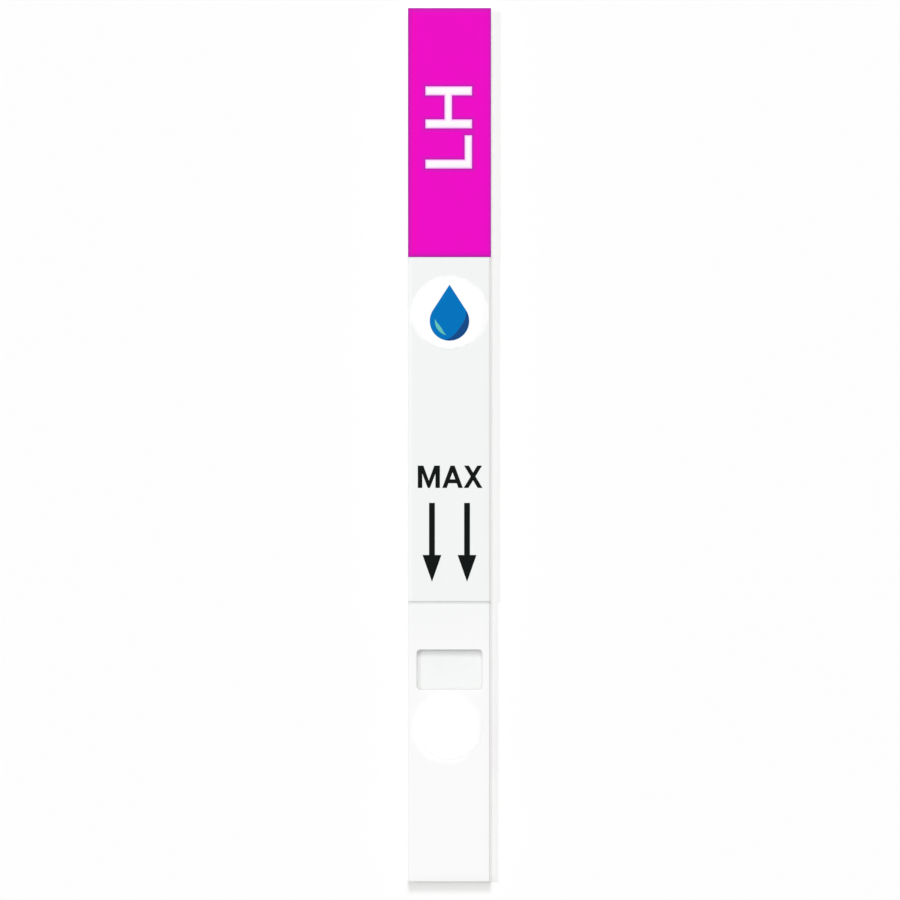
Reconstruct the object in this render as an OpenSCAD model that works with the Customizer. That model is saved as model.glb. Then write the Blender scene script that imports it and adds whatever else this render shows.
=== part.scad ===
// Ovulation test strip: a lateral flow dipstick, slit from one laminated card.
// It lies face up on Z = 0 with its length along Y. The dip end is at -Y, the handle at +Y.
// Lengths below are measured from the dip end, and heights from the underside.

/* [Strip] */
// Length of the strip
strip_l = 84.2; // [75:0.1:110]
// Width that the laminate is slit to
strip_w = 8; // [7:0.1:12]
// Radius that the blade rolls along the top edge of a cut sheet
edge_roll = 0.08; // [0.04:0.01:0.16]

/* [Backing card] */
// Thickness of the backing card
backing_t = 0.3; // [0.2:0.05:0.5]

/* [Pads and membrane] */
// Thickness of the sample pad and the wick, which carry the window card
pad_t = 0.65; // [0.55:0.05:1]
// Thickness of the conjugate pad
conjugate_t = 0.4; // [0.25:0.05:0.45]
// Thickness of the membrane on its film
membrane_t = 0.25; // [0.15:0.05:0.35]
// Length of the sample pad
sample_pad_l = 12.43; // [8:0.01:18]
// Length of the conjugate pad
conjugate_l = 6.5; // [5:0.5:10]
// Length of the membrane
membrane_l = 11; // [9.5:0.5:20]
// Length by which each piece overlaps the next
overlap = 2; // [1:0.25:2.5]
// Length over which a pad bends up onto the piece below it
bend_l = 0.5; // [0.2:0.1:1]

/* [Window card] */
// Thickness of the window card
card_t = 0.25; // [0.18:0.01:0.4]
// Length of the window, along the strip
window_l = 3.85; // [2:0.05:4.2]
// Wall left at each side of the window
window_side = 0.85; // [0.5:0.05:1.5]
// Corner radius of the window
window_r = 0.35; // [0.15:0.05:0.8]
// Width of the bevel round the window's rim
window_bevel = 0.08; // [0.03:0.01:0.12]

/* [Front label] */
// Thickness of the front label
label_t = 0.28; // [0.18:0.01:0.36]
// Distance from the window to the label's lower edge, which is the dip limit
window_to_label = 4.7; // [2:0.1:8]

/* [Handle tape] */
// Length of the coloured handle tape
handle_l = 24; // [18:0.5:30]
// Thickness of the handle tape
tape_t = 0.08; // [0.05:0.01:0.12]

/* [Print] */
// Thickness of the printed ink
ink_t = 0.02; // [0.01:0.005:0.04]
// Length of a dip arrow
arrow_l = 7.6; // [5:0.05:9]
// Length of an arrow's head
arrow_head_l = 2.45; // [1.5:0.05:3]
// Width of an arrow's head
arrow_head_w = 1.86; // [1:0.02:2]
// Width of an arrow's shaft
arrow_shaft_w = 0.58; // [0.3:0.02:0.8]
// Distance from the strip's side to an arrow's head
arrow_side = 1.38; // [0.8:0.02:1.4]
// Distance from the label's lower edge to the arrows' tips
arrow_tip = 1.87; // [1:0.01:4]
// Margin left at each side of the label's white spot
label_spot_side = 0.45; // [0.25:0.05:2]
// Distance from the handle tape to the label's white spot
label_spot_gap = 1.8; // [0.5:0.1:4]
// Margin left between the label's white spot and the ends of the drop printed on it
drop_margin = 0.85; // [0.5:0.05:1.2]
// Angle between the drop's straight sides, where they meet in its tip
drop_angle = 66; // [50:1:90]
// Margin left at each side of the window card's white spot
card_spot_side = 0.75; // [0.25:0.05:2]
// Distance from the window to the card's white spot
card_spot_gap = 0.25; // [0.15:0.05:1]

/* [Hidden] */
$fn = 64;
cut = 1; // how far a cutter runs past the sheet that it cuts
roll_share = 0.7; // most of a sheet's thickness that the blade rolls over
bend_steps = 8; // facets in a pad's bend
drop_steps = 30; // facets round the drop's foot

// Heights at which the layers lie on each other
backing_top = backing_t;
membrane_top = backing_top + membrane_t;
conjugate_top = backing_top + conjugate_t;
pads_top = backing_top + pad_t;
card_top = pads_top + card_t;
label_top = card_top + label_t;
tape_top = label_top + tape_t;

// Places along the strip, where each piece starts on the one before it
conjugate_start = sample_pad_l - overlap;
conjugate_end = conjugate_start + conjugate_l;
membrane_start = conjugate_end - overlap;
membrane_end = membrane_start + membrane_l;
wick_start = membrane_end - overlap;

// The window looks onto the middle of the bare membrane
window_w = strip_w - 2 * window_side;
window_mid = (conjugate_end + wick_start) / 2;
window_low = window_mid - window_l / 2;
window_high = window_mid + window_l / 2;
label_start = window_high + window_to_label;
handle_start = strip_l - handle_l;

// The white spots fill the width apart from their margins
label_spot_d = strip_w - 2 * label_spot_side;
label_spot_mid = handle_start - label_spot_gap - label_spot_d / 2;
card_spot_d = strip_w - 2 * card_spot_side;

// Points of a soft S-bend that starts at a place along the strip and changes height over bend_l
function bend(start, from_z, to_z) = [
    for (i = [0:bend_steps])
        [start + bend_l * i / bend_steps, from_z + (to_z - from_z) * (1 - cos(180 * i / bend_steps)) / 2]
];

function reversed(points) = [for (i = [len(points) - 1:-1:0]) points[i]];

// A layer from its side profile of [length, height] points, as wide as the strip
module layer(profile) {
    translate([-strip_w / 2, -strip_l / 2, 0])
        rotate([90, 0, 90])
            linear_extrude(strip_w)
                polygon(profile);
}

// A rectangle with its upper corners rolled, each only where its flag is set
module rolled_rectangle(w, h, roll, left, right) {
    difference() {
        square([w, h]);
        if (left) rolled_corner(roll, h);
        if (right) translate([w, 0]) mirror([1, 0]) rolled_corner(roll, h);
    }
}

// What the blade takes off the upper corner at the left of a sheet h high
module rolled_corner(roll, h) {
    difference() {
        translate([-roll, h - roll]) square(2 * roll);
        translate([roll, h - roll]) circle(roll);
    }
}

// A sheet cut from start to end, with its side edges and the ends that show rolled by the blade
module cut_sheet(start, end, base, t, roll_start, roll_end) {
    roll = min(edge_roll, roll_share * t);
    translate([-strip_w / 2, start - strip_l / 2, base])
        intersection() {
            translate([0, end - start, 0])
                rotate([90, 0, 0])
                    linear_extrude(end - start)
                        rolled_rectangle(strip_w, t, roll, true, true);
            rotate([90, 0, 90])
                linear_extrude(strip_w)
                    rolled_rectangle(end - start, t, roll, roll_start, roll_end);
        }
}

// A sheet that another covers from the place called covered to its end, where its edges stay square
module covered_sheet(start, covered, end, base, t) {
    cut_sheet(start, end, base, t, true, false);
    layer([[covered, base], [end, base], [end, base + t], [covered, base + t]]);
}

// White plastic card that the laminate is built on
module backing_card() {
    color("white")
        layer([[0, 0], [strip_l, 0], [strip_l, backing_top], [0, backing_top]]);
}

// Fibre pad at the dip end, pressed thinner where it lies on the conjugate pad
module sample_pad() {
    color("ivory")
        layer(concat(
            [[0, pads_top], [0, backing_top]],
            bend(conjugate_start - bend_l, backing_top, conjugate_top),
            [[sample_pad_l, conjugate_top], [sample_pad_l, pads_top]]
        ));
}

// Glass fibre pad with the dried gold label, bent up over the membrane's edge
module conjugate_pad() {
    pressed_top = min(membrane_top + conjugate_t, pads_top);
    color("rosybrown")
        layer(concat(
            [[conjugate_start, conjugate_top], [conjugate_start, backing_top]],
            bend(membrane_start - bend_l, backing_top, membrane_top),
            [[conjugate_end, membrane_top], [conjugate_end, pressed_top]],
            reversed(bend(membrane_start - bend_l, conjugate_top, pressed_top))
        ));
}

// Membrane on its film, which carries the reagent lines and shows in the window
module nitrocellulose_membrane() {
    color("snow")
        layer([
            [membrane_start, backing_top], [membrane_end, backing_top],
            [membrane_end, membrane_top], [membrane_start, membrane_top]
        ]);
}

// Wick that draws the liquid on, pressed thinner over the membrane and run to the handle's end
module absorbent_pad() {
    color("whitesmoke")
        layer(concat(
            [[wick_start, pads_top], [wick_start, membrane_top]],
            bend(membrane_end, membrane_top, backing_top),
            [[strip_l, backing_top], [strip_l, pads_top]]
        ));
}

// The window's opening with round corners, and the bevel that widens it at the card's face
module window_cutter() {
    half_w = window_w / 2 - window_r;
    half_l = window_l / 2 - window_r;
    translate([0, window_mid - strip_l / 2, card_top]) {
        for (x = [-half_w, half_w], y = [-half_l, half_l])
            translate([x, y, 0]) {
                translate([0, 0, -card_t - cut]) cylinder(r = window_r, h = card_t + cut);
                translate([0, 0, -window_bevel])
                    cylinder(r1 = window_r, r2 = window_r + 2 * window_bevel, h = 2 * window_bevel);
            }
        window_prism(half_w * 2, window_l);
        rotate([0, 0, 90]) window_prism(half_l * 2, window_w);
    }
}

// Straight part of the opening, run long along X and as deep as span along Y, with its bevel
module window_prism(run, span) {
    rotate([90, 0, 90])
        translate([0, 0, -run / 2])
            linear_extrude(run)
                polygon([
                    [-span / 2, -card_t - cut], [span / 2, -card_t - cut],
                    [span / 2, -window_bevel], [span / 2 + 2 * window_bevel, window_bevel],
                    [-span / 2 - 2 * window_bevel, window_bevel], [-span / 2, -window_bevel]
                ]);
}

// White card that bridges from pad to pad over the bare membrane, with the window die-cut in it
module window_card() {
    color("white")
        difference() {
            covered_sheet(0, label_start, strip_l, pads_top, card_t);
            window_cutter();
        }
}

// Printed white label on the window card. Its lower edge is the limit to dip to
module front_label() {
    color([0.94, 0.95, 0.95])
        covered_sheet(label_start, handle_start, strip_l, card_top, label_t);
}

// Coloured tape over the handle end of the label
module handle_tape() {
    color([0.93, 0.06, 0.77])
        cut_sheet(handle_start, strip_l, label_top, tape_t, true, true);
}

// A dip arrow's outline with its tip at the origin, pointing to -Y
module arrow_outline() {
    polygon([
        [0, 0], [arrow_head_w / 2, arrow_head_l], [arrow_shaft_w / 2, arrow_head_l],
        [arrow_shaft_w / 2, arrow_l], [-arrow_shaft_w / 2, arrow_l],
        [-arrow_shaft_w / 2, arrow_head_l], [-arrow_head_w / 2, arrow_head_l]
    ]);
}

// Pair of printed arrows that point to the dip end
module dip_arrows() {
    arrow_x = strip_w / 2 - arrow_side - arrow_head_w / 2;
    color([0.08, 0.1, 0.1])
        for (side = [-1, 1])
            translate([side * arrow_x, label_start + arrow_tip - strip_l / 2, label_top])
                linear_extrude(ink_t)
                    arrow_outline();
}

// A round printed spot, centred across the strip
module spot(mid, base, d) {
    color("white")
        translate([0, mid - strip_l / 2, base])
            cylinder(d = d, h = ink_t);
}

// White spot below the handle tape
module label_spot() {
    spot(label_spot_mid, label_top, label_spot_d);
}

// Points of a drop from its tip at the origin round its foot, which its straight sides touch
function drop_points(drop_l) =
    let (half = drop_angle / 2, foot_r = drop_l * sin(half) / (1 + sin(half)))
    concat([[0, 0]], [
        for (i = [0:drop_steps])
            let (a = half - (180 + 2 * half) * i / drop_steps)
            [foot_r * cos(a), foot_r * (1 + sin(a)) - drop_l]
    ]);

// Plain drop on the label's white spot, the common sign for a liquid sample
module sample_drop() {
    drop_l = label_spot_d - 2 * drop_margin;
    color([0, 0.46, 0.75])
        translate([0, label_spot_mid + drop_l / 2 - strip_l / 2, label_top + ink_t])
            linear_extrude(ink_t)
                polygon(drop_points(drop_l));
}

// White spot below the window
module card_spot() {
    spot(window_low - card_spot_gap - card_spot_d / 2, card_top, card_spot_d);
}

backing_card();
sample_pad();
conjugate_pad();
nitrocellulose_membrane();
absorbent_pad();
window_card();
front_label();
handle_tape();
dip_arrows();
label_spot();
sample_drop();
card_spot();
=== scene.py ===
# %% [markdown]
# # A laminated test strip, dressed for its picture
#
# The real object is a dipstick 84 mm long, 8 mm wide and 1.6 mm thick. It is a stack of thin sheets that
# one blade has slit from a wide laminated card. This lesson loads the stack at its real size, remakes each
# sheet with the edges and fibres that a close look shows, and gives each one a finish of its own. Every
# size is in metres, and values that are easier to read in millimetres are multiplied by MM.

# %% Load the strip
import math
import random

import bmesh
import bpy
from mathutils import Matrix, Vector, noise


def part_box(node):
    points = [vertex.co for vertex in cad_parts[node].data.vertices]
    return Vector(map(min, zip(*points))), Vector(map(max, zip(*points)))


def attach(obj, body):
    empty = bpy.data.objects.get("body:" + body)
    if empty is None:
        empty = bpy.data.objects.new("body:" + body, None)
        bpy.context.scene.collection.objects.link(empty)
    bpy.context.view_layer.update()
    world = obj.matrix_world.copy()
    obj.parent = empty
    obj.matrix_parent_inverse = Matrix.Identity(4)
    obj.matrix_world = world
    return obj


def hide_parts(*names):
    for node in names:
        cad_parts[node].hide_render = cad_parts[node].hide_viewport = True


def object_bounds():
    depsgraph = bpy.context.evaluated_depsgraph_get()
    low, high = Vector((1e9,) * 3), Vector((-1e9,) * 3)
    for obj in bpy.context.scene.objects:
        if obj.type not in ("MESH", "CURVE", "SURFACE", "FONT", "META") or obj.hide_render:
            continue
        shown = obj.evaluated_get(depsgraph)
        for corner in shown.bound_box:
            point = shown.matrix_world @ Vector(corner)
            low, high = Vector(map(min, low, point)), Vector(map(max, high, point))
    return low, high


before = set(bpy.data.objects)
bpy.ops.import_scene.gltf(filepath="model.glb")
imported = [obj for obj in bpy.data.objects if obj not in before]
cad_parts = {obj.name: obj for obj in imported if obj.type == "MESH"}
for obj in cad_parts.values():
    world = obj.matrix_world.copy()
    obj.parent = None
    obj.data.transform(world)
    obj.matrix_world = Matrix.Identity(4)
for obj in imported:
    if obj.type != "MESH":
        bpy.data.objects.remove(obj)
cad_low, cad_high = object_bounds()
MM = 0.001
strip_size = cad_high - cad_low
print("strip, in mm:", [round(side / MM, 2) for side in strip_size])

# %% [markdown]
# ## Places along the strip
#
# Each layer's box comes from the loaded model, so nothing has to be fitted. The window isn't a node of its
# own, so its place is worked out as the maker would: it is centred on the stretch of membrane that neither
# the pink pad nor the wick covers. The few sizes that no box gives are written here.

# %% Read each layer's box
backing_low, backing_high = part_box("backing_card")
sample_low, sample_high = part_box("sample_pad")
conjugate_low, conjugate_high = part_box("conjugate_pad")
membrane_low, membrane_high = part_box("nitrocellulose_membrane")
wick_low, wick_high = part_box("absorbent_pad")
card_low, card_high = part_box("window_card")
label_low, label_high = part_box("front_label")
tape_low, tape_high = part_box("handle_tape")

CONJUGATE_THICKNESS = 0.40 * MM
BEND_LENGTH = 0.50 * MM
WINDOW_LENGTH = 3.85 * MM
WINDOW_SIDE = 0.85 * MM
WINDOW_CORNER = 0.35 * MM
window_middle = (conjugate_high.y + wick_low.y) / 2
window_low = Vector((card_low.x + WINDOW_SIDE, window_middle - WINDOW_LENGTH / 2, card_low.z))
window_high = Vector((card_high.x - WINDOW_SIDE, window_middle + WINDOW_LENGTH / 2, card_high.z))
print("window, in mm:", [round(side / MM, 2) for side in window_high - window_low])

# %% [markdown]
# ## The camera
#
# The photograph looks straight at the strip's face, so the camera hangs over the strip and looks down. Four
# pixel coordinates of the strip's outline in the 900 x 900 photograph give the scale and the centre of the
# frame. A long lens from half a metre away keeps the outline's sides parallel, as they are in the
# photograph. An orthographic camera could do that too, but a lens also serves the views from the side.

# %% Hang the camera over the strip
PHOTO_SIDE = 900
OUTLINE_LEFT, OUTLINE_RIGHT = 408, 491
OUTLINE_TOP, OUTLINE_BOTTOM = 8, 882
LENS = 200
SENSOR = 36

pixel = strip_size.y / (OUTLINE_BOTTOM - OUTLINE_TOP)
frame_side = PHOTO_SIDE * pixel
centre_x = (PHOTO_SIDE - OUTLINE_LEFT - OUTLINE_RIGHT) / 2 * pixel
centre_y = (OUTLINE_TOP + OUTLINE_BOTTOM - PHOTO_SIDE) / 2 * pixel

camera_data = bpy.data.cameras.new("camera")
camera_data.lens = LENS
camera_data.sensor_width = SENSOR
camera_data.clip_end = 10
camera = bpy.data.objects.new("camera", camera_data)
camera.location = (centre_x, centre_y, label_high.z + frame_side * LENS / SENSOR)
bpy.context.scene.collection.objects.link(camera)
bpy.context.scene.camera = camera
bpy.context.scene.view_settings.view_transform = "Standard"
print(f"one pixel of the photograph is {pixel / MM:.4f} mm")

# %% [markdown]
# ## Shader expressions
#
# A material is a sum of small patterns. Written as Python expressions they read like sums, so this class
# wraps a node's socket and turns each sum, difference, product or quotient into a Math node. Every other
# node comes from its one method, node, which sets the node's settings first and then its sockets.

# %% The class that wraps a socket
class Shade:
    """A shader socket that can be added to, multiplied and fed to other nodes."""

    def __init__(self, tree, socket=None):
        self.tree = tree
        self.socket = socket

    def node(self, kind, settings=None, sockets=None, output=0):
        """Adds a node of a kind, with its settings, and its sockets' values or links."""
        made = self.tree.nodes.new("ShaderNode" + kind)
        for name, value in (settings or {}).items():
            setattr(made, name, value)
        for name, value in (sockets or {}).items():
            if isinstance(value, Shade):
                self.tree.links.new(value.socket, made.inputs[name])
            else:
                made.inputs[name].default_value = value
        return Shade(self.tree, made.outputs[output] if made.outputs else None)

    def math(self, operation, *values):
        """A Math node on this value and up to two others."""
        sockets = dict(enumerate((self, *values)))
        return self.node("Math", {"operation": operation}, sockets)

    def __add__(self, other):
        return self.math("ADD", other)

    def __sub__(self, other):
        return self.math("SUBTRACT", other)

    def __rsub__(self, other):
        return self.node("Math", {"operation": "SUBTRACT"}, {0: other, 1: self})

    def __mul__(self, other):
        return self.math("MULTIPLY", other)

    def __truediv__(self, other):
        return self.math("DIVIDE", other)

    __radd__ = __add__
    __rmul__ = __mul__


# %% [markdown]
# Colours are easiest to name as the eye reads them, on a scale of 0 to 255, but a shader wants them linear.
# Every finish of the strip starts from a bare tree and ends in one Principled shader with a bump. Both ends
# are made here, so each finish only has to say what lies between them.

# %% The two ends of a finish
def seen(red, green, blue):
    """A linear colour from one that is given as it is seen, from 0 to 255, by the curve of sRGB."""
    shares = [level / 255 for level in (red, green, blue)]
    linear = [s / 12.92 if s <= 0.04045 else ((s + 0.055) / 1.055) ** 2.4 for s in shares]
    return (*linear, 1.0)


def new_material(name):
    """A material with a bare tree, and the Shade that starts its expressions."""
    material = bpy.data.materials.new(name)
    material.use_nodes = True
    material.node_tree.nodes.clear()
    print("finish:", name)
    return material, Shade(material.node_tree)


def finish(shade, colour, roughness, height, depth, **constants):
    """The surface: a Principled shader with a bump of the given depth in metres."""
    bump = shade.node("Bump", sockets={"Height": height, "Distance": depth, "Strength": 1.0})
    sockets = {"Base Color": colour, "Roughness": roughness, "Normal": bump}
    sockets.update({name.replace("_", " "): value for name, value in constants.items()})
    surface = shade.node("BsdfPrincipled", sockets=sockets)
    shade.node("OutputMaterial", sockets={"Surface": surface})


# %% [markdown]
# Between its two ends a finish is built from a few patterns: a place on the strip, a soft step from 0 to 1,
# the two sides of a line, a cloud of noise with a real size, and the mixing of two colours by a mask. Node
# groups could hold them too, but functions are easier to read and to change.

# %% Helpers for the patterns
def place(shade):
    """The object coordinates, as a vector and as its three values."""
    vector = shade.node("TexCoord", output="Object")
    axes = [vector.node("SeparateXYZ", sockets={"Vector": vector}, output=axis) for axis in "XYZ"]
    return (vector, *axes)


def ramp(value, start, end, kind="LINEAR"):
    """0 below start, 1 above end and a straight ramp between them."""
    sockets = {"Value": value, "From Min": start, "From Max": end}
    return value.node("MapRange", {"interpolation_type": kind}, sockets)


def step_up(value, start, end):
    """0 below start, 1 above end and a soft step between them."""
    return ramp(value, start, end, "SMOOTHSTEP")


def past(value, line, blur=0.2):
    """0 below a line and 1 past it, with a soft step that reaches to either side by a share of it."""
    return step_up(value, line * (1 - blur), line * (1 + blur))


def cloud(vector, size, detail=3.0, stretch=(1, 1, 1)):
    """Noise from 0 to 1 with lumps about as large as size, longer where stretch is over 1."""
    scale = tuple(1 / (size * factor) for factor in stretch)
    scaled = vector.node("VectorMath", {"operation": "MULTIPLY"}, {0: vector, 1: scale})
    sockets = {"Vector": scaled, "Scale": 1.0, "Detail": detail}
    return vector.node("TexNoise", sockets=sockets, output="Fac")


def blend_colours(mask, first, second):
    """The first colour where the mask is 0 and the second where it is 1."""
    settings = {"data_type": "RGBA"}
    return mask.node("Mix", settings, {0: mask, 6: first, 7: second}, output=2)


# %% [markdown]
# ## Floor and light
#
# The strip lies on a pale, seamless floor, which is a wide disc of matt white. The camera looks straight
# down, so nothing has to stand behind the strip. The sky gives a third of the light. Where the camera or a
# reflection looks at it, it is as white as the floor.

# %% Floor and sky
FLOOR_WHITE = seen(254, 254, 254)
FLOOR_RADIUS = 3.0
SKY_SHARE = 0.33

floor_mesh = bmesh.new()
bmesh.ops.create_circle(floor_mesh, cap_ends=True, segments=96, radius=FLOOR_RADIUS)
floor_data = bpy.data.meshes.new("floor")
floor_mesh.to_mesh(floor_data)
floor_mesh.free()
floor = bpy.data.objects.new("floor", floor_data)
bpy.context.scene.collection.objects.link(floor)
floor_paint, start = new_material("floor_paint")
matt_white = start.node("BsdfDiffuse", sockets={"Color": FLOOR_WHITE})
start.node("OutputMaterial", sockets={"Surface": matt_white})
floor_data.materials.append(floor_paint)

sky = bpy.data.worlds.new("sky")
sky.use_nodes = True
sky.node_tree.nodes.clear()
start = Shade(sky.node_tree)
looked_at = start.node("LightPath", output="Is Camera Ray")
for ray in ("Is Glossy Ray", "Is Transmission Ray"):
    looked_at = looked_at.math("MAXIMUM", start.node("LightPath", output=ray))
strength = SKY_SHARE + looked_at * (1 - SKY_SHARE)
background = start.node("Background", sockets={"Color": FLOOR_WHITE, "Strength": strength})
start.node("OutputWorld", sockets={"Surface": background})
bpy.context.scene.world = sky
print(f"the floor is {2 * FLOOR_RADIUS:.0f} m across and the sky gives {SKY_SHARE:.2f} of white")

# %% [markdown]
# The photograph's shadows say where the rest of the light comes from. Two soft lamps beyond the handle, a
# low one and a high one, throw a short shadow past the dip end and into the window, darkest where both are
# hidden. A smaller lamp at the left throws a fainter one to the right, and a lamp straight above fills in.
# They are suns, because an area lamp near the strip would light one end more than the other. Their shares
# and the sky's add up to 1, so a colour comes out about as it is written. The lamp above is left out of
# reflections, because its glare would come straight back to the camera and turn the black print grey.

# %% Four suns
def add_sun(name, share, azimuth, elevation, spread, glare=True):
    """A lamp that gives a level face a share of white, at an azimuth clockwise from the handle end."""
    turn, rise = math.radians(azimuth), math.radians(elevation)
    towards = Vector((math.sin(turn) * math.cos(rise), math.cos(turn) * math.cos(rise), math.sin(rise)))
    data = bpy.data.lights.new(name, "SUN")
    data.energy = share * math.pi / math.sin(rise)
    data.angle = math.radians(spread)
    lamp = bpy.data.objects.new(name, data)
    lamp.rotation_mode = "QUATERNION"
    lamp.rotation_quaternion = towards.to_track_quat("Z", "Y")
    lamp.visible_glossy = glare
    bpy.context.scene.collection.objects.link(lamp)
    return share


shares = [
    add_sun("handle_lamp", share=0.20, azimuth=0, elevation=46, spread=17),
    add_sun("high_lamp", share=0.12, azimuth=0, elevation=66, spread=26),
    add_sun("left_lamp", share=0.13, azimuth=-75, elevation=56, spread=7),
    add_sun("top_lamp", share=0.22, azimuth=0, elevation=90, spread=10, glare=False),
]
print(f"light on a flat surface: {SKY_SHARE + sum(shares):.2f} of white")

# %% [markdown]
# ## How the stack has settled
#
# A laminate is never quite flat: it sinks a hundredth of a millimetre where a pad ends under it, and it
# keeps a slow wave from the roll it was pressed on. One function gives that sinking for any point, nothing
# at the underside and most at the face, and every piece passes through it, so the sheets and their print
# still lie on each other. A Displace modifier on each piece could do it too, but then every piece would
# need the same settings.

# %% The settling of the stack
WAVE_DEPTH = 0.010 * MM
WAVE_LENGTH = 9.0 * MM
DIP_DEPTH = 0.012 * MM
PAD_END_REACH = 1.0 * MM
WINDOW_REACH = 2.6 * MM
dips = [((sample_high.y + membrane_low.y) / 2, PAD_END_REACH), (window_middle, WINDOW_REACH)]
print(f"the stack sinks by up to {(WAVE_DEPTH + DIP_DEPTH) / MM:.3f} mm")


def settle(bm):
    """Lowers each point of a mesh as the stack under it has sunk."""
    for vert in bm.verts:
        wave = 0.5 + 0.5 * noise.noise(Vector((vert.co.x, vert.co.y, 0)) / WAVE_LENGTH)
        sunk = WAVE_DEPTH * wave
        for middle, reach in dips:
            sunk += DIP_DEPTH * math.exp(-(((vert.co.y - middle) / reach) ** 2))
        vert.co.z -= sunk * vert.co.z / cad_high.z


# %% [markdown]
# ## From a box to a cut sheet
#
# Every sheet starts as a box. The blade comes down from the face, so it rolls the upper edges over and
# leaves the lower ones crisp. A Bevel modifier would need a weight on every edge, but bmesh's bevel takes a
# list of edges, so it makes both, with more segments on the roll. Bisecting the finished box across its
# length and width then gives it enough points to follow the settling of the stack.

# %% Helpers for the sheets
SAME_PLACE = 1e-8
SAME_POINT = 1e-9


def box(low, high):
    """A mesh of a box between two corners."""
    bm = bmesh.new()
    bmesh.ops.create_cube(bm, size=1.0)
    bmesh.ops.scale(bm, vec=high - low, verts=bm.verts)
    bmesh.ops.translate(bm, vec=(low + high) / 2, verts=bm.verts)
    return bm


def split(bm, axis, places):
    """Cuts the mesh along planes across an axis, and keeps both sides of each."""
    normal = Vector((0, 0, 0))
    normal[axis] = 1
    for at in places:
        geometry = [*bm.verts, *bm.edges, *bm.faces]
        bmesh.ops.bisect_plane(bm, geom=geometry, dist=SAME_POINT, plane_co=normal * at, plane_no=normal)


def steps(start, end, length):
    """Even places between start and end, about a length apart, without the two ends."""
    count = max(1, round((end - start) / length))
    return [start + (end - start) * i / count for i in range(1, count)]


def edges_where(bm, test):
    """The edges whose two ends both pass a test."""
    return [edge for edge in bm.edges if all(test(vert.co) for vert in edge.verts)]


def near(a, b):
    """True where two measures are the same to a hundredth of a micron."""
    return abs(a - b) < SAME_PLACE


def roll_edges(bm, edges, radius, segments=4):
    """Rounds edges over."""
    bmesh.ops.bevel(
        bm, geom=edges, offset=radius, affect="EDGES", segments=segments, profile=0.5, material=-1
    )


# %% [markdown]
# One helper makes any finished mesh a piece of the strip. It settles the mesh, turns its faces outwards and
# smooths all but its sharp edges. The object stays at the origin, so the piece lies where its mesh says. It
# also counts the open edges, of which a closed piece has none.

# %% Make a mesh a piece of the strip
SMOOTH_ANGLE = math.radians(40)


def add_piece(name, bm, material, slot, *nodes):
    """Settles a mesh with the stack and makes it a piece, which stands for the nodes it replaces."""
    settle(bm)
    bmesh.ops.recalc_face_normals(bm, faces=bm.faces)
    open_edges = sum(not edge.is_manifold for edge in bm.edges)
    mesh = bpy.data.meshes.new(name)
    bm.to_mesh(mesh)
    bm.free()
    mesh.shade_smooth()
    mesh.set_sharp_from_angle(angle=SMOOTH_ANGLE)
    mesh.materials.append(material)
    piece = bpy.data.objects.new(name, mesh)
    bpy.context.scene.collection.objects.link(piece)
    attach(piece, "root")
    if nodes:
        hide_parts(*nodes)
    print(f"{name}: {len(mesh.polygons)} faces, {open_edges} open edges")


# %% [markdown]
# ## The backing card
#
# The card under everything is white PVC with a coat of adhesive on its upper face. The adhesive shows only
# along the cut sides, as a slightly darker and glossier line 0.03 mm high. It could be a sheet of its own,
# but so thin a coat is seen by its colour alone, so it is drawn by height in the card's finish. The rest is
# calendered plastic: faint lines along the roll, a little variation in white, and a satin sheen.

# %% Finish of the backing card
ADHESIVE = 0.03 * MM
ADHESIVE_COLOUR = seen(206, 204, 192)
ADHESIVE_SHARE = 0.8

backing_finish, start = new_material("backing_finish")
where, _, _, z = place(start)
adhesive = 1 - past(backing_high.z - z, ADHESIVE)
mottle = cloud(where, 1.5 * MM, detail=4.0)
lines = cloud(where, 0.05 * MM, stretch=(1, 60, 1))
plastic = blend_colours(mottle, seen(238, 239, 237), seen(246, 246, 244))
colour = blend_colours(adhesive * ADHESIVE_SHARE, plastic, ADHESIVE_COLOUR)
height = mottle * 0.3 + lines * 0.7
satin = 0.5 - adhesive * 0.25 + lines * 0.1
finish(start, colour, roughness=satin, height=height, depth=0.004 * MM)

# %% [markdown]
# The card itself could be a bare box, but then nothing would catch the light along its edges, and it has to
# follow the settling. All its edges are broken by the same small bevel while the box still has only twelve
# of them, and the cuts across the sheet come after that.

# %% Cut the backing card
SHEET_SLICE = 0.8 * MM
CRISP = 0.015 * MM


def slice_sheet(bm, low, high):
    """Cuts a sheet into cells that are small enough to follow the settling of the stack."""
    split(bm, 0, steps(low.x, high.x, SHEET_SLICE))
    split(bm, 1, steps(low.y, high.y, SHEET_SLICE))


bm = box(backing_low, backing_high)
roll_edges(bm, list(bm.edges), CRISP, segments=2)
slice_sheet(bm, backing_low, backing_high)
add_piece("backing_card_sheet", bm, backing_finish, "backing", "backing_card")

# %% [markdown]
# ## Fibre pads
#
# The three pads are felted fibres, pressed between the cards and cut with them. Seen from the side they
# look like a torn edge of thick paper: thin layers of fibre that lie along the strip, with ends that stand
# in and out by a few hundredths of a millimetre. A bump alone would leave the cut straight where it is seen
# against the light, so the fraying is in the mesh. A pad is a box whose cut faces are divided finely, bent
# to its profile, and then pushed in by noise that is long along the strip and short in height.

# %% Helpers for the pads
FIBRE_ROW = 0.07 * MM
FIBRE_STEP = 0.14 * MM
FRAY_DEPTH = 0.05 * MM
FRAY_TUFTS = (0.12, 0.12, 0.035), 0.32
FRAY_ENDS = (0.05, 0.05, 0.03), 0.18


def bend(y, start, from_z, to_z):
    """The height of a soft S-bend that starts at a place along the strip."""
    share = min(max((y - start) / BEND_LENGTH, 0), 1)
    return from_z + (to_z - from_z) * (1 - math.cos(math.pi * share)) / 2


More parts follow.
